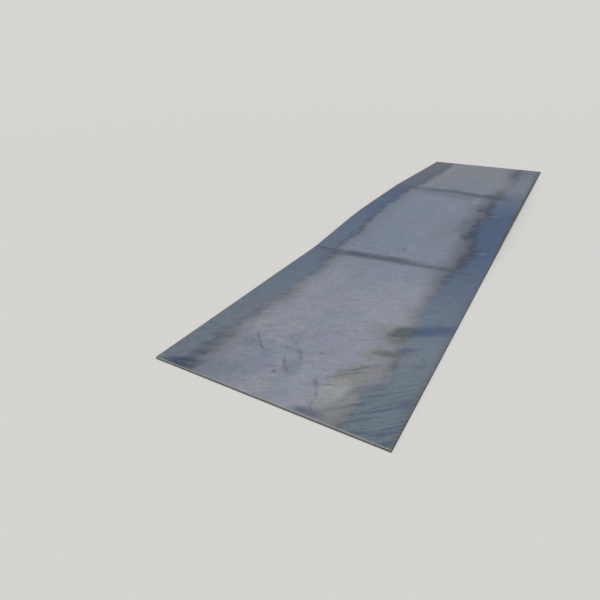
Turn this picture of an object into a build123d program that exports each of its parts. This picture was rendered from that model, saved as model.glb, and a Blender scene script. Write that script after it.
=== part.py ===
from build123d import *
import math
import os

# One hot-rolled steel plate, cut to length from strip that was once wound on a coil.
# Sizes are in millimetres and angles in degrees. X runs along the plate from its near end,
# Y runs across it and Z up from the floor. The origin is on the floor, under the plate's middle.

# The stock
plate_width = 1500
plate_thickness = 10

# The side profile, from the near end to the far end: the length of each run of the underside.
# The near run lies flat on the floor. A crease across the plate ends it, and another starts
# the falling run. The last run's slope isn't set here: it brings the far end back to the floor.
near_run = 2000
rising_run = 950
crest_run = 1200
falling_run = 1850

# How the wave is bent
rising_slope = 3.9
crest_slope = 0.1
crease_radius = 550
crest_radius = 7000

# The edges: a mill edge is rounded along both long sides, and the corners of the sheared ends
# are dressed a little
mill_edge_radius = 3
sheared_edge_radius = 1.2

# The largest share of the thickness that a rounded corner may take
most_of_a_wall = 0.45


def slope_back_to_the_floor():
    crest_height = rising_run * math.sin(math.radians(rising_slope))
    crest_height += crest_run * math.sin(math.radians(crest_slope))
    return -math.degrees(math.asin(crest_height / falling_run))


def underside_corners():
    runs = [near_run, rising_run, crest_run, falling_run]
    slopes = [0, rising_slope, crest_slope, slope_back_to_the_floor()]
    corners = [Vector(0, 0)]
    for run, slope in zip(runs, slopes):
        corners.append(corners[-1] + Vector(run, 0).rotate(Axis.Z, slope))
    return corners


def side_profile():
    bends = [crease_radius, crest_radius, crease_radius]
    underside = FilletPolyline(*underside_corners(), radius=bends)
    outline = offset(underside, amount=plate_thickness, side=Side.LEFT)
    return make_face(outline)


def edges_of_the_ends(plate):
    along = plate.faces().sort_by(Axis.X)
    return along[0].edges() + along[-1].edges()


def round_the_long_edges(plate):
    across = plate.faces().sort_by(Axis.Y)
    long_edges = (across[0].edges() + across[-1].edges()) - edges_of_the_ends(plate)
    return fillet(long_edges, min(mill_edge_radius, most_of_a_wall * plate_thickness))


def dress_the_sheared_ends(plate):
    radius = min(sheared_edge_radius, most_of_a_wall * plate_thickness)
    return fillet(edges_of_the_ends(plate), radius)


def steel_plate():
    plate = extrude(Plane.XZ * side_profile(), amount=plate_width / 2, both=True)
    plate = round_the_long_edges(plate)
    plate = dress_the_sheared_ends(plate)
    footprint = plate.bounding_box()
    return plate.moved(Location((-footprint.center().X, 0, -footprint.min.Z)))


os.makedirs("parts", exist_ok=True)
export_step(steel_plate(), "parts/steel_plate.step")
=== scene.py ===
import math
import re

import bpy
from mathutils import Matrix, Vector


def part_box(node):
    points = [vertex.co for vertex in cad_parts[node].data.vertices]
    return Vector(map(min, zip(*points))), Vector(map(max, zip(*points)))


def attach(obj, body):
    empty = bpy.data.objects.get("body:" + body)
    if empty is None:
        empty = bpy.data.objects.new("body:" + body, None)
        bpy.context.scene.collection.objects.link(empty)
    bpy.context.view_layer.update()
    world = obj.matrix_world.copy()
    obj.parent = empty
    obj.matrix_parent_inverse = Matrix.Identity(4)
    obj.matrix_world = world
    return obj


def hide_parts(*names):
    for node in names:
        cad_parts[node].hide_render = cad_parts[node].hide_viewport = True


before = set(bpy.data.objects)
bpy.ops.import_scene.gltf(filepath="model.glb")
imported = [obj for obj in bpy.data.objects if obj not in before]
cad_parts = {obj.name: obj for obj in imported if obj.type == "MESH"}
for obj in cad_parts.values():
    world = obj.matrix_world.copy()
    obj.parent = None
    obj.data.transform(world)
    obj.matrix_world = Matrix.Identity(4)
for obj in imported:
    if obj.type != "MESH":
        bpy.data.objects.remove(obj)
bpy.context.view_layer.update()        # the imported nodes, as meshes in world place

# Metres, but for the grounds and marks of the upper face, and angles in degrees in the dictionaries.
# The plate lies along X with its near end at the low side and its left edge at high Y. Z points up
# from the floor.
plateLow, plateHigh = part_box("steel_plate")
plateLength = plateHigh.x - plateLow.x
plateWidth = plateHigh.y - plateLow.y
print("frame loaded, the plate's box is", round(plateLength, 3), "by", round(plateWidth, 3))


# Small helpers for building nodes

def shown(red, green, blue):
    levels = [level / 255 for level in (red, green, blue)]        # as a screen shows it, 0 to 255
    linear = [v / 12.92 if v <= 0.04045 else ((v + 0.055) / 1.055) ** 2.4 for v in levels]
    return (*linear, 1.0)


def isSocket(value):
    return isinstance(value, bpy.types.NodeSocket)


def addNode(kind, feeds, tree=None, **settings):
    if tree is None:        # then it is the tree of what feeds the node
        tree = next(value.id_data for value in feeds.values() if isSocket(value))
    made = tree.nodes.new(kind)
    placed = len(tree.nodes)
    made.location = (230 * (placed % 14), -330 * (placed // 14))
    for name, value in settings.items():
        setattr(made, name, value)
    for key, value in feeds.items():
        if isSocket(value):
            tree.links.new(value, made.inputs[key])
        else:
            made.inputs[key].default_value = value
    return made


def startNode(tree, kind, **settings):
    return addNode(kind, {}, tree, **settings)


def emptyTree(owner):
    owner.use_nodes = True
    owner.node_tree.nodes.clear()
    return owner.node_tree


def putInScene(name, data):
    made = bpy.data.objects.new(name, data)
    bpy.context.scene.collection.objects.link(made)
    return made


def maths(operation, *terms):
    return addNode("ShaderNodeMath", dict(enumerate(terms)), operation=operation).outputs[0]


def plus(*terms):
    return maths("ADD", *terms)


def minus(*terms):
    return maths("SUBTRACT", *terms)


def times(*terms):
    return maths("MULTIPLY", *terms)


def scaled(value, factor, least):
    return plus(least, times(value, factor))


def centred(value, size):
    return times(minus(value, 0.5), size)        # noise that swings about zero


def vectors(operation, *terms):
    made = addNode("ShaderNodeVectorMath", dict(enumerate(terms)), operation=operation)
    return made.outputs["Value" if operation == "LENGTH" else "Vector"]


def ease(value, start, end):
    feeds = {"Value": value, "From Min": start, "From Max": end}        # 0 at start and 1 at end
    return addNode("ShaderNodeMapRange", feeds, interpolation_type="SMOOTHSTEP").outputs[0]


def mixTone(share, under, over):
    made = addNode("ShaderNodeMix", {0: share, 6: under, 7: over}, data_type="RGBA")
    return made.outputs[2]


def tint(share, under, tone):
    return mixTone(share, under, shown(*tone))


def stretched(vector, size):
    return addNode("ShaderNodeVectorMath", {0: vector, 3: size}, operation="SCALE").outputs[0]


def labelled(feeds):        # halfWidth feeds the socket Half Width
    return {re.sub("([A-Z])", r" \1", name).title(): value for name, value in feeds.items()}


def noise(place, size, detail=3.0, kind="2D", **feeds):
    feeds = {"Vector": place, "Scale": size, "Detail": detail, **labelled(feeds)}
    return addNode("ShaderNodeTexNoise", feeds, noise_dimensions=kind).outputs[0]


def splitPlace(place):
    return addNode("ShaderNodeSeparateXYZ", {0: place}).outputs


def newGroup(name, takes, gives):
    tree = bpy.data.node_groups.new(name, "ShaderNodeTree")
    for label, value in takes.items():
        kind = "NodeSocketVector" if isinstance(value, tuple) else "NodeSocketFloat"
        socket = tree.interface.new_socket(label, in_out="INPUT", socket_type=kind)
        socket.default_value = value
    for label in gives:
        kind = "NodeSocketVector" if label == "Place" else "NodeSocketFloat"
        tree.interface.new_socket(label, in_out="OUTPUT", socket_type=kind)
    return tree, tree.nodes.new("NodeGroupInput").outputs, tree.nodes.new("NodeGroupOutput").inputs


def useGroup(group, **feeds):
    return addNode("ShaderNodeGroup", labelled(feeds), node_tree=group).outputs


# Node groups that the finishes share

def makeRaggedPlace():
    takes = {"Place": (0, 0, 0), "Size": 10, "Reach": 0.01, "Shift": (0, 0, 0)}
    tree, given, result = newGroup("raggedPlace", takes, ["Place"])
    moved = vectors("ADD", given["Place"], given["Shift"])
    feeds = {"Vector": moved, "Scale": given["Size"], "Detail": 3.0}
    cloud = addNode("ShaderNodeTexNoise", feeds, noise_dimensions="2D").outputs["Color"]
    swing = vectors("SUBTRACT", cloud, (0.5, 0.5, 0.5))
    flat = vectors("MULTIPLY", swing, (2, 2, 0))
    push = stretched(flat, given["Reach"])
    tree.links.new(vectors("ADD", given["Place"], push), result["Place"])
    return tree


def turnAndSqueeze(place, turn, long, wide):
    turned = addNode("ShaderNodeVectorRotate", {"Vector": place, "Angle": times(turn, -1)},
                     rotation_type="Z_AXIS").outputs[0]
    size = addNode("ShaderNodeCombineXYZ", {0: long, 1: wide, 2: 1}).outputs[0]
    return vectors("DIVIDE", turned, size)


def makeSoftSpot():
    takes = {"Place": (0, 0, 0), "Centre": (0, 0, 0), "Turn": 0, "Half Length": 0.1,
             "Half Width": 0.1, "Softness": 0.95}
    tree, given, result = newGroup("softSpot", takes, ["Mask"])
    away = vectors("SUBTRACT", given["Place"], given["Centre"])
    squeezed = turnAndSqueeze(away, given["Turn"], given["Half Length"], given["Half Width"])
    far = vectors("LENGTH", squeezed)
    core = minus(1, given["Softness"])
    tree.links.new(ease(far, 1, core), result["Mask"])
    return tree


def makeEdgeBand():
    takes = {"Distance": 0, "Even Distance": 0, "Reach": 0.2, "Softness": 0.03, "Soot Inside": 0.06,
             "Soot Outside": 0.09, "Haze Reach": 0.2}
    tree, given, result = newGroup("edgeBand", takes, ["Band", "Soot", "Haze"])
    inside = minus(given["Reach"], given["Distance"])
    outside = times(inside, -1)
    softer = times(given["Softness"], -1)
    band = ease(inside, softer, given["Softness"])
    inner = ease(inside, given["Soot Inside"], 0)
    outer = ease(outside, given["Soot Outside"], 0)
    farther = minus(given["Even Distance"], given["Reach"])
    beyond = ease(farther, given["Haze Reach"], 0)
    tree.links.new(band, result["Band"])
    tree.links.new(times(outer, inner), result["Soot"])
    tree.links.new(times(beyond, minus(1, band)), result["Haze"])
    return tree


def makeCrossMark():
    takes = {"Place": (0, 0, 0), "Line": 2, "Half Width": 0.05}
    tree, given, result = newGroup("crossMark", takes, ["Mask"])
    along = splitPlace(given["Place"])[0]
    away = maths("ABSOLUTE", minus(along, given["Line"]))
    share = maths("DIVIDE", away, given["Half Width"])
    tree.links.new(ease(share, 1, 0.15), result["Mask"])        # full close to the line
    return tree


def makeDragMarks():
    takes = {"Place": (0, 0, 0), "Turn": 0, "Length": 0.2, "Spacing": 0.01, "Least": 0.55}
    tree, given, result = newGroup("dragMarks", takes, ["Mask", "Streaks"])
    squeezed = turnAndSqueeze(given["Place"], given["Turn"], given["Length"], given["Spacing"])
    streaks = noise(squeezed, 1)
    tree.links.new(streaks, result["Streaks"])
    most = plus(given["Least"], 0.17)        # over this much noise a streak fades in
    tree.links.new(ease(streaks, given["Least"], most), result["Mask"])
    return tree


def makeScaleGrain():
    takes = {"Place": (0, 0, 0), "Size": 1}
    tree, given, result = newGroup("scaleGrain", takes, ["Cloud", "Mottle", "Grain"])
    sized = stretched(given["Place"], given["Size"])
    for label, fineness, detail in (("Cloud", 2.1, 3), ("Mottle", 24, 4), ("Grain", 240, 3)):
        tree.links.new(noise(sized, fineness, detail), result[label])
    return tree


def makeRustBloom():
    takes = {"Place": (0, 0, 0), "Size": 30, "Amount": 0.3}
    tree, given, result = newGroup("rustBloom", takes, ["Mask", "Crust"])
    patches = noise(given["Place"], given["Size"], 5, roughness=0.65)
    least = scaled(given["Amount"], -0.6, 0.85)
    tree.links.new(ease(patches, least, plus(least, 0.12)), result["Mask"])
    crust = noise(given["Place"], times(given["Size"], 9), 2)
    tree.links.new(crust, result["Crust"])
    return tree


raggedPlace = makeRaggedPlace()
softSpot = makeSoftSpot()
edgeBand = makeEdgeBand()
crossMark = makeCrossMark()
dragMarks = makeDragMarks()
scaleGrain = makeScaleGrain()
rustBloom = makeRustBloom()
print("shared node groups built")


# Finishes

def newFinish(name, keepHeight=0):
    material = bpy.data.materials.new(name)
    tree = emptyTree(material)
    surface = tree.nodes.new("ShaderNodeBsdfPrincipled")
    end = tree.nodes.new("ShaderNodeOutputMaterial")
    tree.links.new(surface.outputs[0], end.inputs[0])
    coordinates = startNode(tree, "ShaderNodeTexCoord").outputs["Object"]
    # X becomes metres from the near end, Y metres from the left edge
    feeds = {"Vector": coordinates, "Location": (-plateLow.x, plateHigh.y, 0),
             "Scale": (1, -1, keepHeight)}
    place = addNode("ShaderNodeMapping", feeds).outputs[0]
    return material, surface, place


def rusted(colour, place, look):
    rust = useGroup(rustBloom, place=place, **look["rustSpecks"])
    return tint(times(rust["Mask"], look["rustStrength"]), colour, look["rust"])


def endFinish(surface, look, colour, roughness, relief):
    strength, distance = look["bump"]
    bump = addNode("ShaderNodeBump", {"Strength": strength, "Distance": distance, "Height": relief})
    results = {"Base Color": colour, "Roughness": roughness, "Normal": bump.outputs[0]}
    for label, result in results.items():
        surface.id_data.links.new(result, surface.inputs[label])
    surface.inputs["Metallic"].default_value = look["metallic"]
    surface.inputs["Specular IOR Level"].default_value = look["specular"]


def lengthRamp(share, stops, tones):
    ramp = addNode("ShaderNodeValToRGB", {0: share})
    elements = ramp.color_ramp.elements
    elements.remove(elements[1])
    for count, (along, tone) in enumerate(stops):
        stop = elements.new(along / plateLength) if count else elements[0]
        stop.position = min(1, along / plateLength)
        stop.color = shown(*tones[tone])
    return ramp.outputs[0]


def handCurve(share, stops, span, full=1.0):
    made = addNode("ShaderNodeFloatCurve", {1: share})
    line = made.mapping.curves[0]
    for count, (metres, value) in enumerate(stops):
        spot = (min(1, metres / span), value / full)
        if count < 2:
            line.points[count].location = spot
        else:
            line.points.new(*spot)
    made.mapping.update()
    return times(made.outputs[0], full) if full != 1 else made.outputs[0]


# What the upper face shows. A stop is a distance in metres, along the plate or across it from the
# left edge, and then a value or the name of a tone. A ground or a mark is millimetres along and
# across, half length, half width, strength in per cent and, where it is turned, degrees. Grounds
# lie under the blue bands and marks over them.
topScale = {
    "tones": {
        "bright": (139, 144, 156), "bluishWithSkyReflection": (117, 128, 145), "dull": (117, 125, 136),
        "ash": (120, 124, 131), "lilac": (127, 130, 152), "green": (112, 128, 138),
        "steel": (115, 122, 136), "mist": (142, 146, 155), "stone": (128, 129, 129),
        "sand": (146, 148, 150), "pale": (146, 154, 166), "fleck": (156, 161, 171),
        "haze": (107, 111, 118), "greyHaze": (115, 116, 119), "paleHaze": (121, 123, 130),
        "blueHaze": (109, 118, 135), "darkHaze": (82, 87, 98), "greyBlue": (107, 118, 130),
        "sea": (99, 111, 122), "teal": (98, 119, 132), "midBlue": (93, 108, 129),
        "softBlue": (84, 100, 122), "blue": (79, 96, 126), "fullBlue": (71, 88, 118),
        "navy": (70, 84, 116), "marine": (67, 88, 116), "darkBlue": (60, 83, 115), "deep": (38, 61, 92),
        "slate": (92, 98, 112), "slateBlue": (88, 97, 114), "dusk": (97, 103, 114), "lead": (95, 98, 105),
        "score": (104, 110, 124), "streak": (72, 86, 110), "ink": (66, 79, 99),
        "lilacSoot": (97, 98, 113), "softSoot": (84, 88, 99), "soot": (76, 80, 95),
        # of the tones below, the two for the creases are painted shade: the broad one wholly, the line
        # partly, being also a fold mark
        "blueSoot": (64, 78, 106), "blackBlue": (50, 64, 87), "creaseShade": (80, 87, 101),
        "creaseMarkAndShade": (60, 69, 83), "purple": (78, 74, 94), "umber": (61, 63, 77), "smoke": (82, 88, 93),
        "rust": (104, 84, 66), "wornRim": (104, 108, 110), "greyRim": (85, 89, 93),
        # the lip tone is partly wear and partly a painted highlight along the near end's top edge
        "darkRim": (67, 75, 81), "steelRim": (85, 92, 104), "lip": (160, 161, 161),
    },
    # the middle along the plate, partly the scale's own tone and partly painted light: bluer on the
    # rising and crest runs as a painted sky reflection
    "middle": [
        (0, "bright"), (1.3, "bright"), (2.2, "bluishWithSkyReflection"), (3.6, "bluishWithSkyReflection"), (4.3, "dull"), (6, "ash"),
    ],
    # clouds: strength, and the noise where one starts and where it is full
    "clouds": {"lilac": (0.3, 0.35, 0.7), "green": (0.3, 0.45, 0.75)},
    "greenDrift": {"shift": (9, 4, 0), "size": 1.7},        # a pattern of their own
    "left": {
        "reach": [
            (0, 0.18), (0.3, 0.19), (0.55, 0.19), (0.8, 0.215), (1.3, 0.24), (1.8, 0.24), (2.05, 0.21),
            (2.6, 0.235), (3.1, 0.2), (3.9, 0.21), (4.2, 0.24), (4.8, 0.262), (5.5, 0.285), (6, 0.265),
        ],
        "band": [
            (0, "greyBlue"), (0.6, "greyBlue"), (1.8, "midBlue"), (2.4, "midBlue"), (3.1, "blue"),
            (3.9, "fullBlue"), (4.3, "slateBlue"), (5, "slateBlue"), (6, "lead"),
        ],
        "soot": [
            (0, "softSoot"), (0.5, "softSoot"), (1.1, "soot"), (2.1, "soot"), (3.2, "blueSoot"),
            (3.9, "blueSoot"), (4.3, "soot"), (5.2, "soot"), (6, "softSoot"),
        ],
        "haze": [
            (0, "haze"), (0.3, "haze"), (0.5, "greyHaze"), (0.75, "paleHaze"), (1.2, "paleHaze"),
            (3, "blueHaze"), (4, "blueHaze"), (4.8, "paleHaze"), (6, "paleHaze"),
        ],
        "sootStrength": [
            (0, 0.5), (0.4, 0.5), (0.9, 0.45), (1.6, 0.5), (2.4, 0.8), (3.2, 0.9), (4.1, 0.9),
            (4.6, 0.65), (5.4, 0.85), (6, 0.5),
        ],
        "sootInside": [
            (0, 0.05), (2.6, 0.07), (3.2, 0.1), (4.1, 0.1), (4.8, 0.13), (5.7, 0.13), (6, 0.08),
        ],
        "sootOutside": [(0, 0.08), (0.8, 0.09), (1.6, 0.08), (3, 0.05), (4.1, 0.045), (6, 0.05)],
        "hazeReach": [(0, 0.3), (0.3, 0.24), (0.6, 0.16), (1, 0.18), (6, 0.18)],
        "waver": [(0, 0.8), (1, 0.5), (2, 0.3), (6, 0.25)],
        "rim": {"tone": [(0, "wornRim"), (6, "wornRim")], "width": 0.022,
                "strength": [(0, 0.6), (6, 0.6)]},
        "softness": [(0, 0.05), (6, 0.05)],
    },
    "right": {
        "reach": [
            (0, 0.272), (0.1, 0.275), (0.2, 0.258), (0.31, 0.285), (0.4, 0.208), (0.56, 0.208),
            (0.72, 0.22), (0.9, 0.25), (1.05, 0.225), (1.25, 0.26), (1.8, 0.25), (2.3, 0.2), (2.65, 0.2),
            (2.8, 0.275), (3.15, 0.285), (3.4, 0.235), (3.6, 0.29), (4, 0.28), (4.3, 0.26), (5, 0.215),
            (5.5, 0.29), (6, 0.26),
        ],
        "band": [
            (0, "sea"), (0.3, "sea"), (0.7, "greyBlue"), (1.8, "softBlue"), (2.4, "darkBlue"),
            (3.4, "darkBlue"), (4, "softBlue"), (4.6, "greyBlue"), (5.2, "greyBlue"), (6, "dusk"),
        ],
        "soot": [
            (0, "lilacSoot"), (0.45, "lilacSoot"), (0.9, "soot"), (2.2, "blackBlue"), (3.7, "blackBlue"),
            (4.4, "softSoot"), (5.4, "soot"), (6, "softSoot"),
        ],
        "haze": [
            (0, "greyHaze"), (0.9, "greyHaze"), (1.25, "paleHaze"), (2.1, "darkHaze"), (3.6, "darkHaze"),
            (4.8, "haze"), (6, "lead"),
        ],
        "sootStrength": [
            (0, 0.35), (0.5, 0.35), (0.9, 0.3), (1.3, 0.3), (1.9, 0.9), (2.3, 1.3), (3.4, 1.3), (3.9, 1),
            (4.3, 0.6), (4.8, 0.35), (5.4, 0.7), (6, 0.5),
        ],
        "sootInside": [
            (0, 0.035), (1.8, 0.05), (2.3, 0.09), (3.2, 0.09), (3.8, 0.07), (4.2, 0.06), (6, 0.08),
        ],
        "sootOutside": [
            (0, 0.035), (0.8, 0.05), (1.6, 0.06), (2.3, 0.07), (3.8, 0.07), (4.4, 0.08), (5, 0.06),
            (6, 0.08),
        ],
        "hazeReach": [
            (0, 0.18), (0.5, 0.16), (0.9, 0.14), (1.6, 0.16), (2.1, 0.25), (3.2, 0.3), (3.8, 0.26),
            (4.4, 0.21), (6, 0.21),
        ],
        "waver": [(0, 0.3), (0.9, 0.4), (1.4, 0.5), (2, 0.45), (3, 0.5), (6, 0.5)],
        "rim": {"tone": [(0, "greyRim"), (2.2, "greyRim"), (3.5, "darkRim"), (4.2, "steelRim"),
                         (6, "steelRim")],
                "width": 0.055,
                "strength": [(0, 0.85), (1.1, 0.5), (2.3, 0.35), (3.1, 0.35), (3.5, 0.7), (3.9, 0.3),
                             (4.3, 0.3), (4.7, 0.85), (5.5, 1), (6, 0.8)]},
        "softness": [(0, 0.012), (0.5, 0.014), (1.2, 0.026), (6, 0.026)],
    },
    # dark bands across the plate at the creases: the lines are partly marks along the folds and partly
    # painted shade, the broad bands are painted shade
    "creases": [
        # a broad painted shade by the first crease
        {"tone": "creaseShade",
         "line": [(0, 1.99), (0.15, 1.97), (0.22, 1.965), (0.33, 1.995), (0.45, 2.005),
                  (0.6, 2.028), (0.72, 2.036), (1.5, 2.06)],
         "halfWidth": [(0, 0.05), (0.15, 0.1), (0.22, 0.11), (0.33, 0.1), (0.6, 0.095),
                       (0.9, 0.1), (1.5, 0.08)],
         "strength": [(0, 0.2), (0.15, 0.5), (0.25, 0.8), (0.35, 0.9), (0.6, 0.9), (0.78, 0.85),
                      (0.95, 0.5), (1.5, 0.25)]},
        {"tone": "creaseMarkAndShade",
         "line": [(0, 2.016), (0.15, 2.004), (0.3, 2.018), (0.45, 2.01), (0.6, 2.03), (0.72, 2.038),
                  (0.9, 2.035), (1.5, 2.06)],
         "halfWidth": [(0, 0.022), (0.2, 0.026), (0.3, 0.04), (0.6, 0.05), (1.1, 0.045), (1.5, 0.03)],
         "strength": [(0, 0.75), (0.17, 0.78), (0.27, 0.42), (0.7, 0.4), (0.85, 0.5), (1.1, 0.5),
                      (1.5, 0.35)]},
        # a broad painted shade on the near side of the second crease
        {"tone": "slateBlue",
         "line": [(0, 4.06), (0.5, 4.03), (0.9, 4), (1.5, 4)],
         "halfWidth": [(0, 0.1), (0.3, 0.16), (1.2, 0.16), (1.5, 0.1)],
         "strength": [(0, 0.1), (0.3, 0.33), (0.6, 0.45), (1.05, 0.4), (1.3, 0.17), (1.5, 0.1)]},
        {"tone": "creaseMarkAndShade",
         "line": [(0, 4.16), (0.5, 4.14), (0.7, 4.17), (0.95, 4.13), (1.2, 4.12), (1.5, 4.12)],
         "halfWidth": [(0, 0.08), (0.2, 0.12), (0.5, 0.13), (0.8, 0.13), (1, 0.13), (1.2, 0.15),
                       (1.5, 0.1)],
         "strength": [(0, 0.17), (0.2, 0.42), (0.44, 0.42), (0.5, 0.62), (0.85, 0.66), (1, 0.76),
                      (1.2, 0.74), (1.35, 0.35), (1.5, 0.2)]},
    ],
    "grounds": {
        "greyHaze": [
            (50, 1120, 130, 130, 70, 60), (860, 1170, 130, 100, 60, 60), (520, 1200, 90, 60, 70, 60),
        ],
        "stone": [
            (420, 1120, 260, 130, 150, 25), (220, 1180, 200, 70, 140, 20), (660, 1140, 140, 100, 120, 20),
            (720, 1140, 160, 70, 90), (980, 1110, 220, 110, 80, 60), (100, 1050, 80, 100, 50, 60),
        ],
        "sand": [
            (250, 1075, 170, 100, 150, 25), (140, 1060, 80, 70, 60), (660, 340, 140, 70, 50),
            (2200, 345, 80, 20, 50, -20), (2750, 1100, 140, 40, 30), (3900, 1040, 320, 60, 40, -3),
        ],
    },
    "marks": {
        "lilac": [
            (270, 580, 220, 160, 50, 60), (660, 740, 340, 80, 35, 57), (760, 900, 100, 70, 40, 57),
            (400, 760, 130, 70, 35, 20), (2080, 320, 120, 100, 45), (3750, 580, 240, 100, 40),
            (2700, 830, 50, 25, 40), (3180, 800, 170, 80, 30), (5900, 450, 220, 220, 30),
        ],
        "steel": [
            (2750, 980, 600, 160, 80), (120, 420, 300, 200, 75, 75), (420, 400, 120, 120, 80),
            (100, 260, 130, 70, 110, 60), (300, 770, 130, 80, 75), (360, 550, 60, 50, 40),
            (460, 700, 100, 50, 50, 60), (620, 620, 140, 80, 45), (2460, 900, 180, 70, 90),
            (3720, 760, 120, 60, 50),
        ],
        "mist": [
            (100, 700, 120, 120, 90, 60), (740, 560, 160, 140, 60), (600, 250, 160, 60, 45),
            (900, 520, 120, 200, 50), (900, 900, 100, 80, 50), (240, 860, 100, 50, 60, 60),
            (600, 1000, 100, 60, 30), (4420, 360, 200, 60, 30), (5400, 370, 420, 60, 35),
            (600, 340, 100, 50, 50),
        ],
        "teal": [
            (1250, 1310, 90, 60, 60, 55), (3200, 1240, 80, 30, 50), (3450, 60, 150, 50, 40),
            (4300, 780, 130, 80, 30), (200, 1350, 160, 70, 40, 50), (450, 70, 250, 70, 40),
            (850, 1420, 200, 70, 35, 40),
        ],
        "pale": [
            (2135, 700, 45, 22, 50), (2330, 830, 40, 18, 50), (2640, 768, 60, 13, 50, -10),
            (2400, 890, 50, 12, 35, -10), (3380, 750, 60, 25, 35), (3555, 850, 130, 35, 35, 50),
            (2450, 1375, 70, 25, 35, 80), (3430, 1320, 60, 30, 30, 70), (4270, 560, 40, 35, 30),
            (2100, 550, 40, 20, 40, 30), (35, 20, 30, 20, 50),
        ],
        "slate": [
            (490, 416, 80, 18, 65, 137), (403, 500, 65, 18, 70, 122), (440, 461, 55, 16, 60, 145),
            (440, 415, 40, 14, 40, 30), (490, 535, 35, 25, 40), (348, 700, 70, 18, 65, 153),
            (289, 743, 65, 18, 65, 135), (235, 700, 28, 20, 90), (428, 768, 60, 18, 60, 161),
            (467, 737, 45, 18, 60, 119), (540, 668, 40, 15, 50, 10), (520, 860, 30, 20, 50),
            (270, 660, 75, 12, 55, 67), (480, 670, 110, 12, 60, 69), (180, 500, 45, 12, 35, 85),
            (485, 1115, 200, 14, 85, 47), (450, 1125, 100, 12, 70, 48), (275, 1030, 100, 14, 50, 66),
            (255, 960, 70, 30, 60, -30), (180, 1005, 70, 18, 40, -20), (100, 1020, 60, 18, 35, -10),
            (30, 1030, 140, 50, 110, 85), (100, 1120, 120, 12, 40, 48), (400, 1060, 140, 12, 70, 50),
            (350, 1020, 100, 10, 60, 52), (550, 1170, 120, 12, 50, 50), (380, 1280, 100, 30, 50, 30),
            (150, 1170, 120, 14, 40, 48), (300, 1180, 140, 40, 35, 20), (2280, 760, 70, 25, 70),
            (2500, 660, 70, 20, 30), (2880, 620, 90, 20, 35), (3960, 780, 80, 80, 45),
            (3930, 620, 70, 30, 25), (4350, 660, 80, 70, 30), (3950, 950, 160, 50, 30, -5),
            (4660, 800, 90, 30, 30),
        ],
        "purple": [
            (890, 1240, 40, 25, 40, 60), (785, 1275, 60, 30, 60, 50), (120, 1240, 50, 20, 40, 60),
            (210, 1245, 50, 25, 60, 60), (30, 250, 60, 50, 80, 60), (610, 180, 70, 50, 20, 30),
            (800, 220, 120, 70, 30, 50), (1800, 210, 200, 65, 40), (1960, 240, 100, 60, 50),
            (2780, 190, 130, 65, 45), (2560, 1250, 200, 50, 45, -12), (3180, 1190, 120, 45, 50, -5),
            (3420, 1200, 100, 45, 50), (20, 1220, 50, 20, 50, 30),
        ],
        "smoke": [
            (705, 1215, 130, 55, 90, 72), (685, 1150, 60, 30, 60, 66), (730, 1280, 60, 40, 50, 60),
            (930, 1180, 100, 65, 100, 60), (985, 1225, 150, 100, 160, 45), (1030, 1265, 90, 55, 110, 60),
            (870, 1215, 90, 60, 50, 60),
        ],
        "umber": [
            (620, 1285, 90, 40, 45, -10), (2580, 225, 150, 60, 20, -8), (2270, 1270, 150, 60, 80),
            (2730, 1190, 120, 60, 100, -30), (3280, 1200, 100, 60, 60), (3580, 1155, 150, 65, 75),
            (5930, 1250, 90, 60, 70), (4090, 1160, 140, 60, 60), (4250, 1240, 130, 70, 45, 20),
            (4400, 1200, 160, 90, 30, -10),
        ],
        "marine": [(1055, 1335, 130, 85, 150, 62)],
        "navy": [
            (1125, 1430, 160, 100, 120, 60), (790, 1300, 90, 45, 60, 48), (840, 1355, 60, 24, 50, 45),
            (320, 1460, 90, 40, 50, 40), (740, 1420, 60, 30, 35, -20), (2150, 180, 110, 50, 45),
            (2430, 180, 90, 50, 60), (2600, 1335, 190, 55, 70, -8), (3330, 1260, 120, 45, 60),
            (3050, 1260, 120, 45, 50), (4000, 120, 180, 110, 40),
        ],
        "ink": [
            (60, 170, 160, 50, 130, 68), (10, 155, 130, 60, 150, 74), (300, 190, 280, 35, 40, 1),
            (170, 205, 100, 65, 70, 62), (100, 195, 70, 40, 60, 62), (5600, 1465, 350, 40, 50),
            (270, 180, 80, 50, 55, 60), (390, 165, 80, 45, 45, 60), (470, 170, 70, 40, 35, 60),
            (80, 260, 80, 50, 50, 60), (30, 1330, 100, 20, 80, 58), (70, 1420, 120, 22, 80, 52),
            (120, 1300, 140, 16, 60, 48), (240, 1380, 140, 16, 50, 47), (20, 1460, 70, 30, 80, 50),
            (340, 1450, 100, 50, 50, 30), (680, 1420, 100, 50, 40, 60), (1015, 1285, 70, 40, 130, 60),
            (5300, 1280, 200, 50, 60), (5600, 1230, 400, 90, 80),
        ],
        "deep": [
            (2470, 1350, 130, 60, 50), (2660, 1290, 130, 50, 60, -10), (2810, 1240, 170, 60, 90, -8),
            (3100, 1240, 120, 40, 35),
        ],
    },
    "turns": {"most": 58, "corner": 47},        # the way that streaks run, from along to across
    # streaks: length, spacing, where the noise starts to count and a shift of the pattern
    "streaks": {
        "wide": (0.2, 0.055, 0.5, (2, 5, 0)), "narrow": (0.11, 0.018, 0.5, (7, 1, 0)),
        "blotchy": (0.13, 0.06, 0.5, (3, 3, 0)), "dragged": (0.3, 0.015, 0.5, (1, 8, 0)),
        "scored": (0.22, 0.01, 0.58, (4, 3, 0)), "flecked": (0.03, 0.007, 0.64, (6, 6, 0)),
    },
    "dragZone": (0.14, 1.42, 0.66, 0.37),        # along, across, half length, half width
    "scoreStrength": 0.18, "fleckStrength": 0.35,
    "ragged": {"loose": {"size": 4.5, "reach": 0.05},
               "close": {"size": 26, "reach": 0.01, "shift": (5, 1, 0)}},
    "borderWaver": {"wide": 0.09, "narrow": 0.02, "mottle": 0.06},
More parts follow.
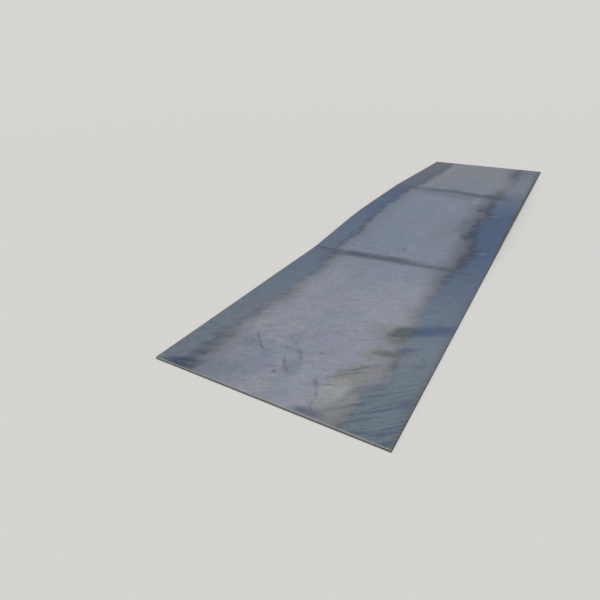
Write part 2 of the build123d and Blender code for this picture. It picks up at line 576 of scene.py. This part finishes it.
    "unevenness": {"mottle": 0.36, "grain": 0.22, "speckle": 0.5, "wide": 0.14, "narrow": 0.3},
    # what noise adds to a strength, and the least of it
    "vary": {"haze": (0.5, 0.7), "blotch": (0.58, 0.42), "soot": (0.5, 0.75), "crease": (0.3, 0.75)},
    # the noise where a pattern starts and where it is full
    "blotches": (0.34, 0.62), "creaseMottle": (0.3, 0.62),
    "speckleSize": 110, "creaseMottleSize": 8, "creaseWaver": 0.012,
    # the near end's bright lip, partly wear and partly a painted highlight
    "lipWidth": 0.005, "lipLeast": 0.3,
    "rustSpecks": {"size": 26, "amount": 0.35}, "rustStrength": 0.45,
    "rustReach": (0.03, 0.002),        # from a long edge, where specks end and where they are full
    "roughness": {"least": 0.52, "mottle": 0.16, "scored": 0.05},
    "relief": {"grain": 0.4, "scored": -0.3},
    "bump": (0.35, 0.0008), "metallic": 0.15, "specular": 0.25,
}


def makeTopScale():
    look = topScale
    material, surface, place = newFinish("millScaleTop")
    along, across, _ = splitPlace(place)
    fromRight = minus(plateWidth, across)
    share = maths("DIVIDE", along, plateLength)

    def ramp(stops):
        return lengthRamp(share, stops, look["tones"])

    def curve(stops):
        return handCurve(share, stops, plateLength)

    def tinted(strength, under, tone):
        return tint(strength, under, look["tones"][tone])

    def brushed(name, turn="most"):
        length, spacing, least, shift = look["streaks"][name]
        return useGroup(dragMarks, place=vectors("ADD", place, shift), length=length,
                        spacing=spacing, least=least, turn=math.radians(look["turns"][turn]))

    def ragged(name):
        return useGroup(raggedPlace, place=place, **look["ragged"][name])["Place"]

    def spotted(where, alongSpot, acrossSpot, halfLength, halfWidth, degrees=0):
        return useGroup(softSpot, place=where, centre=(alongSpot, acrossSpot, 0),
                        turn=math.radians(degrees), halfLength=halfLength,
                        halfWidth=halfWidth)["Mask"]

    def marked(colour, kinds):
        for tone, marks in kinds.items():
            total = 0
            for alongMark, acrossMark, halfLength, halfWidth, percent, *degrees in marks:
                sizes = [size / 1000 for size in (alongMark, acrossMark, halfLength, halfWidth)]
                mask = times(spotted(close, *sizes, *degrees), percent / 100)
                total = maths("MAXIMUM", total, mask)
            colour = tinted(times(total, patchy), colour, tone)
        return colour

    vary = look["vary"]
    grain = useGroup(scaleGrain, place=place)
    patterns = {"wide": brushed("wide")["Streaks"], "narrow": brushed("narrow")["Streaks"],
                "mottle": grain["Mottle"], "grain": grain["Grain"],
                "speckle": noise(place, look["speckleSize"], 2)}
    patchy = plus(0.5, patterns["narrow"])
    loose, close = ragged("loose"), ragged("close")

    # the grey middle, clouded lilac and green, bluer on the rising and crest runs partly as painted sky
    # reflection
    colour = ramp(look["middle"])
    green = look["greenDrift"]
    drift = useGroup(scaleGrain, place=vectors("ADD", place, green["shift"]), size=green["size"])
    for tone, cloud in (("lilac", grain["Cloud"]), ("green", drift["Cloud"])):
        strength, start, full = look["clouds"][tone]
        colour = tinted(times(ease(cloud, start, full), strength), colour, tone)

    # hazes beside the blue bands, the grounds, and then the bands with soot where they end
    waver = 0
    for name, size in look["borderWaver"].items():
        waver = plus(waver, centred(patterns[name], size))
    even = splitPlace(loose)[1]
    names = ("reach", "softness", "hazeReach", "sootInside", "sootOutside")
    edges = {}
    for side in ("left", "right"):
        values = look[side]
        distances = [plus(even, times(waver, curve(values["waver"]))), even]
        if side == "right":
            distances = [minus(plateWidth, distance) for distance in distances]
        curves = {name: curve(values[name]) for name in names}
        edge = useGroup(edgeBand, distance=distances[0], evenDistance=distances[1], **curves)
        haze = times(edge["Haze"], scaled(grain["Cloud"], *vary["haze"]))
        colour = mixTone(haze, colour, ramp(values["haze"]))
        edges[side] = edge
    colour = marked(colour, look["grounds"])
    blotches = scaled(ease(brushed("blotchy")["Streaks"], *look["blotches"]), *vary["blotch"])
    sooty = times(blotches, scaled(patterns["narrow"], *vary["soot"]))
    for side, edge in edges.items():
        values = look[side]
        colour = mixTone(edge["Band"], colour, ramp(values["band"]))
        soot = times(edge["Soot"], times(curve(values["sootStrength"]), sooty))
        colour = mixTone(soot, colour, ramp(values["soot"]))
    colour = marked(colour, look["marks"])

    # both long edges, worn and greyer
    for side, distance in (("left", across), ("right", fromRight)):
        rim = look[side]["rim"]
        nearEdge = times(ease(distance, rim["width"], 0), curve(rim["strength"]))
        colour = mixTone(nearEdge, colour, ramp(rim["tone"]))

    # the two creases: each dark line is partly a mark along the fold and partly painted shade, the broad
    # bands painted shade
    acrossShare = maths("DIVIDE", across, plateWidth)
    mottled = ease(noise(place, look["creaseMottleSize"]), *look["creaseMottle"])
    for crease in look["creases"]:
        line = handCurve(acrossShare, crease["line"], plateWidth, plateLength)
        line = plus(line, centred(mottled, look["creaseWaver"]))
        halfWidth = handCurve(acrossShare, crease["halfWidth"], plateWidth)
        strength = handCurve(acrossShare, crease["strength"], plateWidth)
        strength = times(strength, scaled(mottled, *vary["crease"]))
        mark = useGroup(crossMark, place=place, line=line, halfWidth=halfWidth)["Mask"]
        colour = tinted(times(mark, strength), colour, crease["tone"])

    # dragged lines by the near right corner, scored lines and flecks all over
    dragged = brushed("dragged", "corner")["Mask"]
    colour = tinted(times(dragged, spotted(loose, *look["dragZone"])), colour, "streak")
    scored = brushed("scored")["Mask"]
    colour = tinted(times(scored, look["scoreStrength"]), colour, "score")
    flecked = brushed("flecked")["Mask"]
    colour = tinted(times(flecked, look["fleckStrength"]), colour, "fleck")

    # unevenness of the whole, then the bright lip of the near end, partly wear and partly a painted
    # highlight, and rust specks along the edges
    light = 1
    for name, size in look["unevenness"].items():
        light = plus(light, centred(patterns[name], size))
    colour = stretched(colour, light)
    lip = ease(along, look["lipWidth"], look["lipWidth"] / 2)
    colour = tinted(times(lip, plus(look["lipLeast"], patterns["speckle"])), colour, "lip")
    rust = useGroup(rustBloom, place=place, **look["rustSpecks"])["Mask"]
    edging = times(rust, ease(maths("MINIMUM", across, fromRight), *look["rustReach"]))
    colour = tinted(times(edging, look["rustStrength"]), colour, "rust")

    rough = look["roughness"]
    dull = scaled(grain["Mottle"], rough["mottle"], rough["least"])
    dull = scaled(scored, rough["scored"], dull)
    relief = scaled(grain["Grain"], look["relief"]["grain"], grain["Mottle"])
    relief = scaled(scored, look["relief"]["scored"], relief)
    endFinish(surface, look, colour, dull, relief)
    return material


underScale = {
    "middle": ((104, 109, 119), (96, 104, 118)),        # two tones that cloud into each other
    "clouds": (0.3, 0.7),        # the noise that counts as the one and as the other
    "band": (84, 94, 114),
    "soot": (72, 76, 88),
    "dust": (150, 145, 136),
    "rust": (110, 86, 66),
    "edge": {"reach": 0.22, "softness": 0.03, "sootInside": 0.09, "sootOutside": 0.05},
    "ragged": {"size": 7, "reach": 0.04, "shift": (2, 9, 0)},
    "rustSpecks": {"size": 18, "amount": 0.42},
    "dustHeight": 0.02,        # dust lies where the plate is this close to the floor
    "dustPatches": (0.34, 0.74),        # the noise that counts as no dust and as all of it
    "roughness": (0.25, 0.58),        # what the dust adds, and the rest
    "creases": [(2.03, 0.05), (4.14, 0.11)],        # metres along, half width
    "strengths": {"soot": 0.7, "crease": 0.4, "dust": 0.5, "rust": 0.5},
    "bump": (0.35, 0.0008), "metallic": 0.15, "specular": 0.35,
}


def makeUnderScale():
    look = underScale
    strengths = look["strengths"]
    material, surface, place = newFinish("millScaleUnder", keepHeight=1)
    flat = vectors("MULTIPLY", place, (1, 1, 0))
    rough = useGroup(raggedPlace, place=flat, **look["ragged"])["Place"]
    grain = useGroup(scaleGrain, place=vectors("ADD", flat, (4, 4, 0)))
    across = splitPlace(rough)[1]
    cloud = ease(grain["Cloud"], *look["clouds"])
    colour = tint(cloud, shown(*look["middle"][0]), look["middle"][1])
    for distance in (across, minus(plateWidth, across)):
        edge = useGroup(edgeBand, distance=distance, evenDistance=distance, **look["edge"])
        colour = tint(edge["Band"], colour, look["band"])
        colour = tint(times(edge["Soot"], strengths["soot"]), colour, look["soot"])
    # the underside made darker along the two creases, in the soot tone
    for line, halfWidth in look["creases"]:
        mark = useGroup(crossMark, place=rough, line=line, halfWidth=halfWidth)["Mask"]
        colour = tint(times(mark, strengths["crease"]), colour, look["soot"])
    resting = ease(splitPlace(place)[2], look["dustHeight"], 0)
    powder = ease(noise(flat, 4.5, 8, roughness=0.7), *look["dustPatches"])
    dusty = times(powder, resting)
    colour = tint(times(dusty, strengths["dust"]), colour, look["dust"])
    rust = useGroup(rustBloom, place=flat, **look["rustSpecks"])
    colour = tint(times(rust["Mask"], strengths["rust"]), colour, look["rust"])
    relief = plus(grain["Mottle"], times(rust["Crust"], rust["Mask"]))
    endFinish(surface, look, colour, scaled(dusty, *look["roughness"]), relief)
    return material


millEdge = {
    # both tones are partly the edge's dark scale and partly painted shade, darkened to stand for the
    # shadowed gap under the raised edge
    "scale": (32, 33, 36),
    "pale": (52, 50, 49),
    "rust": (70, 55, 44),
    "rustSpecks": {"size": 14, "amount": 0.55}, "rustStrength": 0.6,
    "streakSize": 60, "streaks": (0.4, 0.65),        # the noise that counts as scale and as pale
    "roughness": (0.3, 0.55),        # what the streaks add, and the rest
    "bump": (0.4, 0.001), "metallic": 0.1, "specular": 0.3,
}


def makeMillEdge():
    look = millEdge
    material, surface, place = newFinish("rolledEdge", keepHeight=1)
    long = vectors("MULTIPLY", place, (0.25, 1, 1))        # streaks run along the edge
    streak = noise(long, look["streakSize"], 4, "3D")
    colour = tint(ease(streak, *look["streaks"]), shown(*look["scale"]), look["pale"])
    lengthwise = vectors("MULTIPLY", place, (1, 0, 0))
    colour = rusted(colour, lengthwise, look)
    endFinish(surface, look, colour, scaled(streak, *look["roughness"]), streak)
    return material


shearedEnd = {
    "burnished": ((208, 208, 206), (176, 177, 178)),
    "torn": ((62, 58, 54), (78, 74, 70)),
    "rust": (104, 84, 68),
    "rustSpecks": {"size": 25, "amount": 0.5}, "rustStrength": 0.6,
    "burnishedShare": 0.5,        # of the thickness, under the upper face
    "borderWave": 0.004, "waveSize": 22,
    "borderSoftness": 0.0006,
    "lineSize": 900,
    "roughness": (-0.35, 0.75),        # what the burnished part adds, and the rest
    "bump": (0.5, 0.0006), "metallic": 0.3, "specular": 0.5,
}


def makeShearedEnd():
    look = shearedEnd
    material, surface, place = newFinish("shearedEnd", keepHeight=1)
    acrossOnly = vectors("MULTIPLY", place, (0, 1, 0))
    wave = centred(noise(acrossOnly, look["waveSize"]), look["borderWave"])
    level = plus(splitPlace(place)[2], wave)
    change = plateShape["sizes"]["Thickness"] * (1 - look["burnishedShare"])
    softness = look["borderSoftness"]
    burnished = ease(level, change - softness, change + softness)
    tall = vectors("MULTIPLY", place, (0, 1, 0.12))        # the blade's fine upright lines
    lines = noise(tall, look["lineSize"], 2, "3D")
    torn = tint(lines, shown(*look["torn"][0]), look["torn"][1])
    face = vectors("MULTIPLY", place, (0, 1, 1))
    torn = rusted(torn, face, look)
    bright = tint(lines, shown(*look["burnished"][0]), look["burnished"][1])
    colour = mixTone(burnished, torn, bright)
    endFinish(surface, look, colour, scaled(burnished, *look["roughness"]), lines)
    return material


# The plate itself: its side profile, given thickness and width

plateShape = {
    "runs": {"Near Run": 2.0, "Rising Run": 0.95, "Crest Run": 1.2, "Falling Run": 1.85},
    "risingSlope": 3.9,
    "crestSlope": 0.1,
    "sizes": {
        "Thickness": 0.010, "Crease Radius": 0.55, "Crest Radius": 7.0,
        "Cell": 0.018,        # size of a face of the mesh
        "Swell": 0.0014, "Swell Span": 0.8,        # how far it lifts off true, and its wavelength
        "Edge Wander": 0.0009, "Seed": 11.0,
    },
    "millEdgeRadius": 0.003,
    "shearedEdgeRadius": 0.0012,
    "bendSteps": 16,
    "edgeSegments": 3,
    "squareAngle": 60,        # edges sharper than this are rounded
    "endReach": 0.002,        # an edge this close to either end is a sheared one
    "endFacing": 0.7,        # and so is a face that looks this far along the plate
    "swellFrom": (0.38, 0.72),        # the noise that counts as no swell and as all of it
    "wanderScale": 2.6,
}


def fallingSlope(shape):
    runs = shape["runs"]
    height = runs["Rising Run"] * math.sin(math.radians(shape["risingSlope"]))
    height += runs["Crest Run"] * math.sin(math.radians(shape["crestSlope"]))
    return -math.degrees(math.asin(height / runs["Falling Run"]))


def profileCurve(tree, given):
    corner = addNode("ShaderNodeCombineXYZ", {0: given["Near End"]}).outputs[0]
    corners = [corner]
    slopes = (None, "Rising Slope", "Crest Slope", "Falling Slope")
    for run, slope in zip(plateShape["runs"], slopes):
        step = addNode("ShaderNodeCombineXYZ", {0: given[run]}).outputs[0]
        if slope:
            down = times(given[slope], -1)
            step = addNode("ShaderNodeVectorRotate", {"Vector": step, "Angle": down},
                           rotation_type="Y_AXIS").outputs[0]
        corner = vectors("ADD", corner, step)
        corners.append(corner)
    index = startNode(tree, "GeometryNodeInputIndex").outputs[0]
    chosen = startNode(tree, "GeometryNodeIndexSwitch", data_type="VECTOR")
    bend = startNode(tree, "GeometryNodeIndexSwitch", data_type="FLOAT")
    bends = (0, "Crease Radius", "Crest Radius", "Crease Radius", 0)
    for _ in corners[2:]:
        chosen.index_switch_items.new()
        bend.index_switch_items.new()
    for switch, values in ((chosen, corners), (bend, bends)):
        tree.links.new(index, switch.inputs[0])
        for count, value in enumerate(values):
            source = given[value] if isinstance(value, str) else value
            if isSocket(source):
                tree.links.new(source, switch.inputs[count + 1])
    points = addNode("GeometryNodePoints", {"Count": len(corners), "Position": chosen.outputs[0]})
    line = addNode("GeometryNodePointsToCurves", {0: points.outputs[0]})
    feeds = {"Curve": line.outputs[0], "Count": plateShape["bendSteps"], "Radius": bend.outputs[0]}
    return addNode("GeometryNodeFilletCurve", feeds, mode="POLY").outputs[0]


def buildPlateTree(values):
    tree = bpy.data.node_groups.new("plateFromSideProfile", "GeometryNodeTree")
    tree.is_modifier = True
    tree.interface.new_socket("Geometry", in_out="INPUT", socket_type="NodeSocketGeometry")
    for label, value in values.items():
        kind = "NodeSocketFloat" if isinstance(value, float) else "NodeSocketMaterial"
        tree.interface.new_socket(label, in_out="INPUT", socket_type=kind)
    tree.interface.new_socket("Geometry", in_out="OUTPUT", socket_type="NodeSocketGeometry")
    given = tree.nodes.new("NodeGroupInput").outputs
    result = tree.nodes.new("NodeGroupOutput").inputs

    # a flat sheet of faces, laid along the profile
    profile = profileCurve(tree, given)
    length = addNode("GeometryNodeCurveLength", {0: profile}).outputs[0]
    rows = maths("CEIL", maths("DIVIDE", length, given["Cell"]))
    columns = maths("CEIL", maths("DIVIDE", given["Width"], given["Cell"]))
    sheet = addNode("GeometryNodeMeshGrid", {"Size X": length, "Size Y": given["Width"],
                                             "Vertices X": rows, "Vertices Y": columns}).outputs[0]
    position = startNode(tree, "GeometryNodeInputPosition").outputs[0]
    alongSheet, acrossSheet, _ = splitPlace(position)
    travelled = plus(alongSheet, times(length, 0.5))
    sample = addNode("GeometryNodeSampleCurve", {"Curves": profile, "Length": travelled},
                     mode="LENGTH")
    onX, _, onZ = splitPlace(sample.outputs["Position"])

    # small departures from true, as a rolled sheet has
    swellScale = maths("DIVIDE", 1, given["Swell Span"])
    swell = noise(position, swellScale, 2, "4D", w=given["Seed"])
    lift = times(ease(swell, *plateShape["swellFrom"]), given["Swell"])
    shifted = plus(travelled, times(acrossSheet, 9))        # so that the edges differ
    feeds = {"W": plus(shifted, given["Seed"]), "Scale": plateShape["wanderScale"], "Detail": 4}
    wander = addNode("ShaderNodeTexNoise", feeds, noise_dimensions="1D").outputs[0]
    inward = times(wander, maths("DIVIDE", given["Edge Wander"], given["Width"]))
    keptWidth = minus(1, times(inward, 2))
    newY = times(acrossSheet, keptWidth)
    newPlace = addNode("ShaderNodeCombineXYZ", {0: onX, 1: newY, 2: plus(onZ, lift)})
    bent = addNode("GeometryNodeSetPosition", {"Geometry": sheet, "Position": newPlace.outputs[0]})

    # thickness: the sheet is raised off its own turned-over copy
    raised = addNode("GeometryNodeExtrudeMesh", {"Mesh": bent.outputs[0], "Individual": False,
                                                 "Offset Scale": given["Thickness"]}, mode="FACES")
    turned = addNode("GeometryNodeFlipFaces", {"Mesh": bent.outputs[0]})
    both = startNode(tree, "GeometryNodeJoinGeometry")
    tree.links.new(turned.outputs[0], both.inputs[0])
    tree.links.new(raised.outputs["Mesh"], both.inputs[0])
    closed = addNode("GeometryNodeMergeByDistance", {"Geometry": both.outputs[0], "Distance": 1e-5})

    # how far each edge is rounded
    angle = startNode(tree, "GeometryNodeInputMeshEdgeAngle").outputs[0]
    square = maths("GREATER_THAN", angle, math.radians(plateShape["squareAngle"]))
    here = splitPlace(startNode(tree, "GeometryNodeInputPosition").outputs[0])[0]
    box = addNode("GeometryNodeAttributeStatistic", {"Geometry": closed.outputs[0]},
                  data_type="FLOAT", domain="POINT")
    tree.links.new(here, box.inputs["Attribute"])
    fromNear = minus(here, box.outputs["Min"])
    fromFar = minus(box.outputs["Max"], here)
    nearest = maths("MINIMUM", fromNear, fromFar)
    atEnd = maths("LESS_THAN", nearest, plateShape["endReach"])
    share = addNode("ShaderNodeMix", {0: atEnd, 2: 1.0, 3: given["End Edge Share"]}).outputs[0]
    weight = times(square, share)
    weighted = addNode("GeometryNodeStoreNamedAttribute",
                       {"Geometry": closed.outputs[0], "Name": "bevel_weight_edge", "Value": weight},
                       data_type="FLOAT", domain="EDGE")
    smooth = addNode("GeometryNodeSetShadeSmooth", {0: weighted.outputs[0]})

    # one finish for each kind of face
    facing = splitPlace(startNode(tree, "GeometryNodeInputNormal").outputs[0])
    endwise = maths("GREATER_THAN", maths("ABSOLUTE", facing[0]), plateShape["endFacing"])
    kept = addNode("GeometryNodeRealizeInstances", {0: smooth.outputs[0]}).outputs[0]
    picks = [(None, "Under"), (raised.outputs["Top"], "Top"), (raised.outputs["Side"], "Rolled Edge"),
             (endwise, "Sheared End")]
    for where, finish in picks:
        painted = addNode("GeometryNodeSetMaterial", {"Geometry": kept, "Material": given[finish]})
        if where is not None:
            tree.links.new(where, painted.inputs["Selection"])
        kept = painted.outputs[0]
    tree.links.new(kept, result[0])
    return tree


def makePlate():
    shape = plateShape
    finishes = {"Top": makeTopScale(), "Under": makeUnderScale(), "Rolled Edge": makeMillEdge(),
                "Sheared End": makeShearedEnd()}
    print("finishes built")
    values = {
        "Near End": plateLow.x, "Width": plateWidth,
        "Rising Slope": math.radians(shape["risingSlope"]),
        "Crest Slope": math.radians(shape["crestSlope"]),
        "Falling Slope": math.radians(fallingSlope(shape)),
        "End Edge Share": shape["shearedEdgeRadius"] / shape["millEdgeRadius"],
        **shape["runs"], **shape["sizes"], **finishes,
    }
    blank = putInScene("plateBlank", bpy.data.meshes.new("plateBlank"))
    nodes = blank.modifiers.new("plateFromSideProfile", "NODES")
    nodes.node_group = buildPlateTree(values)
    for item in nodes.node_group.interface.items_tree:
        if item.in_out == "INPUT" and item.name in values:
            nodes[item.identifier] = values[item.name]
    rounded = blank.modifiers.new("roundedEdges", "BEVEL")
    rounded.limit_method = "WEIGHT"
    rounded.width = shape["millEdgeRadius"]
    rounded.segments = shape["edgeSegments"]
    rounded.harden_normals = True
    seenBy = bpy.context.evaluated_depsgraph_get()
    mesh = bpy.data.meshes.new_from_object(blank.evaluated_get(seenBy), depsgraph=seenBy)
    bpy.data.objects.remove(blank)
    mesh.materials.pop(index=0)        # the blank's own slot, which no face uses
    mesh.name = "rolledPlate"
    plate = putInScene("rolledPlate", mesh)
    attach(plate, "root")
    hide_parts("steel_plate")
    triangles = sum(len(face.vertices) - 2 for face in mesh.polygons)
    print("plate made,", triangles, "triangles")


makePlate()


# The studio: floor, light and camera

studio = {
    "floor": (226, 225, 222),
    "floorReach": 400,
    "floorDrop": 0.0005,        # keeps the floor clear of the plate's underside
    "backdrop": (213, 213, 209),        # what the camera sees past the floor, close to the lit floor
    "skyLight": 0.32,
    "keyLight": 2.0,
    "keySpread": 6,
    "keyHeading": 2,        # where the key light comes from, from +X towards +Y
    "keyHeight": 60,
    "fadeStart": 6.0,
    "fadeEnd": 24.0,
}


def makeFloor():
    reach, level = studio["floorReach"], -studio["floorDrop"]
    mesh = bpy.data.meshes.new("studioFloor")
    corners = [(x * reach, y * reach, level) for x, y in ((-1, -1), (1, -1), (1, 1), (-1, 1))]
    mesh.from_pydata(corners, [], [(0, 1, 2, 3)])
    floor = putInScene("studioFloor", mesh)
    material = bpy.data.materials.new("studioFloor")
    tree = emptyTree(material)
    place = startNode(tree, "ShaderNodeTexCoord").outputs["Object"]
    fade = ease(vectors("LENGTH", place), studio["fadeStart"], studio["fadeEnd"])
    matt = addNode("ShaderNodeBsdfDiffuse", {"Color": shown(*studio["floor"])}, tree)
    glow = addNode("ShaderNodeEmission", {"Color": shown(*studio["backdrop"])}, tree)
    blended = addNode("ShaderNodeMixShader", {0: fade, 1: matt.outputs[0], 2: glow.outputs[0]})
    addNode("ShaderNodeOutputMaterial", {0: blended.outputs[0]})
    mesh.materials.append(material)


def makeLights():
    world = bpy.data.worlds.new("studioSky")
    bpy.context.scene.world = world
    tree = emptyTree(world)
    seen = startNode(tree, "ShaderNodeLightPath").outputs["Is Camera Ray"]
    level = studio["skyLight"]
    tone = mixTone(seen, (level, level, level, 1), shown(*studio["backdrop"]))
    sky = addNode("ShaderNodeBackground", {"Color": tone})
    addNode("ShaderNodeOutputWorld", {0: sky.outputs[0]})
    lamp = bpy.data.lights.new("keyLight", "SUN")
    lamp.energy = studio["keyLight"]
    lamp.angle = math.radians(studio["keySpread"])
    key = putInScene("keyLight", lamp)
    heading, height = math.radians(studio["keyHeading"]), math.radians(studio["keyHeight"])
    comesFrom = Vector((math.cos(heading) * math.cos(height), math.sin(heading) * math.cos(height),
                        math.sin(height)))
    key.rotation_euler = comesFrom.to_track_quat("Z", "Y").to_euler()


viewpoint = {
    "location": (-4.51673, -1.18022, 1.64380),
    "heading": 30.878,        # from +X towards +Y
    "down": 28.774,
    "roll": 0.964,
    "lens": 27.754,
    "sensor": 36,
    "sees": 1000,        # metres
}


def makeCamera():
    data = bpy.data.cameras.new("eyeLevel")
    data.sensor_fit = "HORIZONTAL"
    data.sensor_width = viewpoint["sensor"]
    data.lens = viewpoint["lens"]
    data.clip_end = viewpoint["sees"]
    camera = putInScene("eyeLevel", data)
    turn = Matrix.Rotation(math.radians(viewpoint["heading"] - 90), 4, "Z")
    tilt = Matrix.Rotation(math.radians(90 - viewpoint["down"]), 4, "X")
    roll = Matrix.Rotation(math.radians(-viewpoint["roll"]), 4, "Z")
    camera.matrix_world = Matrix.Translation(viewpoint["location"]) @ turn @ tilt @ roll
    bpy.context.scene.camera = camera


makeFloor()
makeLights()
makeCamera()
bpy.context.scene.view_settings.view_transform = "Standard"
print("studio ready")
